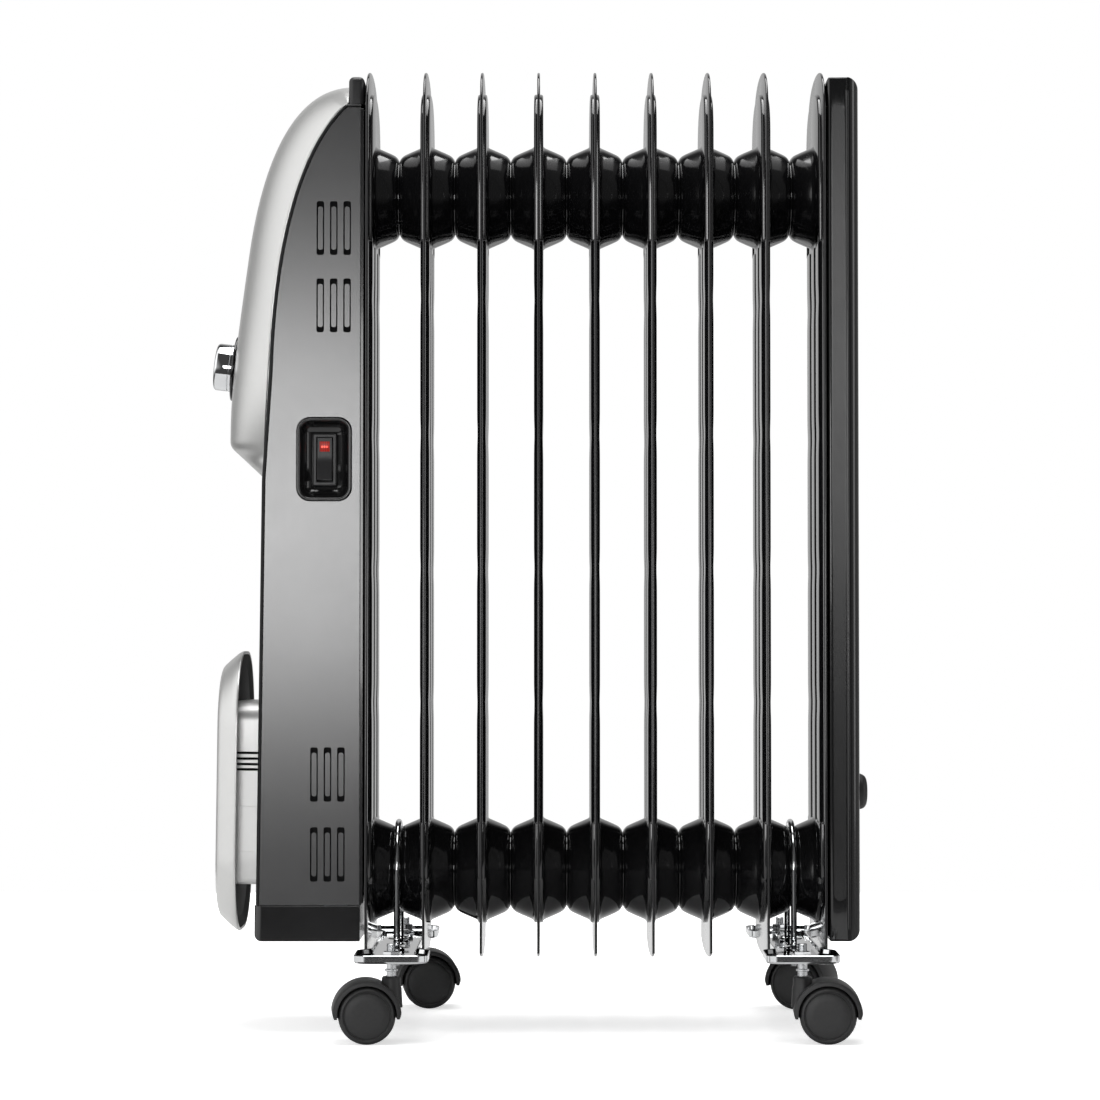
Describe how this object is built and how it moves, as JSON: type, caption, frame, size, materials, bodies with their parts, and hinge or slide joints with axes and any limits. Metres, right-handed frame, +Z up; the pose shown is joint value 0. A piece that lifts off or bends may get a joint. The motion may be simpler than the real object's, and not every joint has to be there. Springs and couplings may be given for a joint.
{
  "type": "oil filled radiator heater",
  "caption": "Tall oil filled radiator heater: black pressed fins on two headers, control housing with dial and rocker switch, cord store, rear cover and twin-wheel casters.",
  "frame": {"origin": "centre of the bounding box in X and Y, on the surface that the casters stand on", "axes": "+X towards the rear cover, -X towards the control housing and its knob, +Z up, -Y the side that carries the rocker switch"},
  "size_m": [0.432, 0.2494, 0.63],
  "materials": {
    "black_enamel": "black gloss stove enamel on pressed steel",
    "housing_plastic": "satin graphite moulded plastic",
    "black_plastic": "gloss black moulded plastic",
    "silver_plastic": "satin silver lacquered plastic",
    "chrome": "bright chrome plate",
    "zinc": "bright zinc plated steel",
    "galvanised": "galvanised sheet",
    "element_steel": "heat-tinted steel tube",
    "caster_plastic": "fine textured black nylon",
    "ceramic": "pale ceramic and thermoset",
    "red_lens": "clear red lens, lit when on",
    "rubber": "black rubber"
  },
  "bodies": {
    "radiator": {"fin_1": "black_enamel", "fin_2": "black_enamel", "fin_3": "black_enamel", "fin_4": "black_enamel", "fin_5": "black_enamel", "fin_6": "black_enamel", "fin_7": "black_enamel", "fin_8": "black_enamel", "fin_9": "black_enamel", "control_housing": "housing_plastic", "housing_base": "black_plastic", "top_grip": "black_plastic", "switch_bezel": "black_plastic", "switch_frame": "black_plastic", "rear_cover": "black_plastic", "dial_ring": "black_plastic", "front_panel": "silver_plastic", "cord_core": "silver_plastic", "cord_flange": "silver_plastic", "caster_plate_front": "chrome", "caster_plate_rear": "chrome", "u_bolt_front": "chrome", "u_bolt_rear": "chrome", "element_flange": "zinc", "oil_plug": "zinc", "thermal_cutout": "zinc", "caster_stem_front_left": "zinc", "caster_stem_front_right": "zinc", "caster_stem_rear_left": "zinc", "caster_stem_rear_right": "zinc", "u_bolt_nut_front_1": "zinc", "u_bolt_nut_front_2": "zinc", "u_bolt_nut_rear_1": "zinc", "u_bolt_nut_rear_2": "zinc", "heat_shield": "galvanised", "heating_element": "element_steel", "terminal_block": "ceramic", "thermostat_body": "ceramic", "rear_buffer": "rubber", "cord_gland": "rubber"},
    "thermostat": {"thermostat_knob": "chrome", "thermostat_shaft": "zinc"},
    "power_rocker": {"rocker": "black_plastic", "rocker_lens": "red_lens"},
    "caster_front_left": {"caster_hood_front_left": "caster_plastic", "caster_axle_front_left": "zinc"},
    "wheel_front_left_a": {"caster_wheel_front_left_a": "caster_plastic"},
    "wheel_front_left_b": {"caster_wheel_front_left_b": "caster_plastic"},
    "caster_front_right": {"caster_hood_front_right": "caster_plastic", "caster_axle_front_right": "zinc"},
    "wheel_front_right_a": {"caster_wheel_front_right_a": "caster_plastic"},
    "wheel_front_right_b": {"caster_wheel_front_right_b": "caster_plastic"},
    "caster_rear_left": {"caster_hood_rear_left": "caster_plastic", "caster_axle_rear_left": "zinc"},
    "wheel_rear_left_a": {"caster_wheel_rear_left_a": "caster_plastic"},
    "wheel_rear_left_b": {"caster_wheel_rear_left_b": "caster_plastic"},
    "caster_rear_right": {"caster_hood_rear_right": "caster_plastic", "caster_axle_rear_right": "zinc"},
    "wheel_rear_right_a": {"caster_wheel_rear_right_a": "caster_plastic"},
    "wheel_rear_right_b": {"caster_wheel_rear_right_b": "caster_plastic"}
  },
  "joints": [
    {"name": "thermostat_turn", "type": "hinge", "parent": "radiator", "child": "thermostat", "pos_m": [-0.19996, 0, 0.4345], "axis": [0.9936, 0, -0.1132], "range_deg": [0, 290]},
    {"name": "rocker_tilt", "type": "hinge", "parent": "radiator", "child": "power_rocker", "pos_m": [-0.13819, -0.0519, 0.3709], "axis": [1, 0, 0], "range_deg": [0, 14]},
    {"name": "swivel_front_left", "type": "hinge", "parent": "radiator", "child": "caster_front_left", "pos_m": [-0.09214, -0.105, 0], "axis": [0, 0, 1], "continuous": true},
    {"name": "roll_front_left_a", "type": "hinge", "parent": "caster_front_left", "child": "wheel_front_left_a", "pos_m": [-0.10788, -0.10638, 0.018], "axis": [0.0872, -0.9962, 0], "continuous": true},
    {"name": "roll_front_left_b", "type": "hinge", "parent": "caster_front_left", "child": "wheel_front_left_b", "pos_m": [-0.10788, -0.10638, 0.018], "axis": [0.0872, -0.9962, 0], "continuous": true},
    {"name": "swivel_front_right", "type": "hinge", "parent": "radiator", "child": "caster_front_right", "pos_m": [-0.09214, 0.105, 0], "axis": [0, 0, 1], "continuous": true},
    {"name": "roll_front_right_a", "type": "hinge", "parent": "caster_front_right", "child": "wheel_front_right_a", "pos_m": [-0.0764, 0.10638, 0.018], "axis": [-0.0872, 0.9962, 0], "continuous": true},
    {"name": "roll_front_right_b", "type": "hinge", "parent": "caster_front_right", "child": "wheel_front_right_b", "pos_m": [-0.0764, 0.10638, 0.018], "axis": [-0.0872, 0.9962, 0], "continuous": true},
    {"name": "swivel_rear_left", "type": "hinge", "parent": "radiator", "child": "caster_rear_left", "pos_m": [0.16756, -0.105, 0], "axis": [0, 0, 1], "continuous": true},
    {"name": "roll_rear_left_a", "type": "hinge", "parent": "caster_rear_left", "child": "wheel_rear_left_a", "pos_m": [0.18334, -0.10583, 0.018], "axis": [0.0523, 0.9986, 0], "continuous": true},
    {"name": "roll_rear_left_b", "type": "hinge", "parent": "caster_rear_left", "child": "wheel_rear_left_b", "pos_m": [0.18334, -0.10583, 0.018], "axis": [0.0523, 0.9986, 0], "continuous": true},
    {"name": "swivel_rear_right", "type": "hinge", "parent": "radiator", "child": "caster_rear_right", "pos_m": [0.16756, 0.105, 0], "axis": [0, 0, 1], "continuous": true},
    {"name": "roll_rear_right_a", "type": "hinge", "parent": "caster_rear_right", "child": "wheel_rear_right_a", "pos_m": [0.18221, 0.09908, 0.018], "axis": [0.3746, 0.9272, 0], "continuous": true},
    {"name": "roll_rear_right_b", "type": "hinge", "parent": "caster_rear_right", "child": "wheel_rear_right_b", "pos_m": [0.18221, 0.09908, 0.018], "axis": [0.3746, 0.9272, 0], "continuous": true}
  ]
}
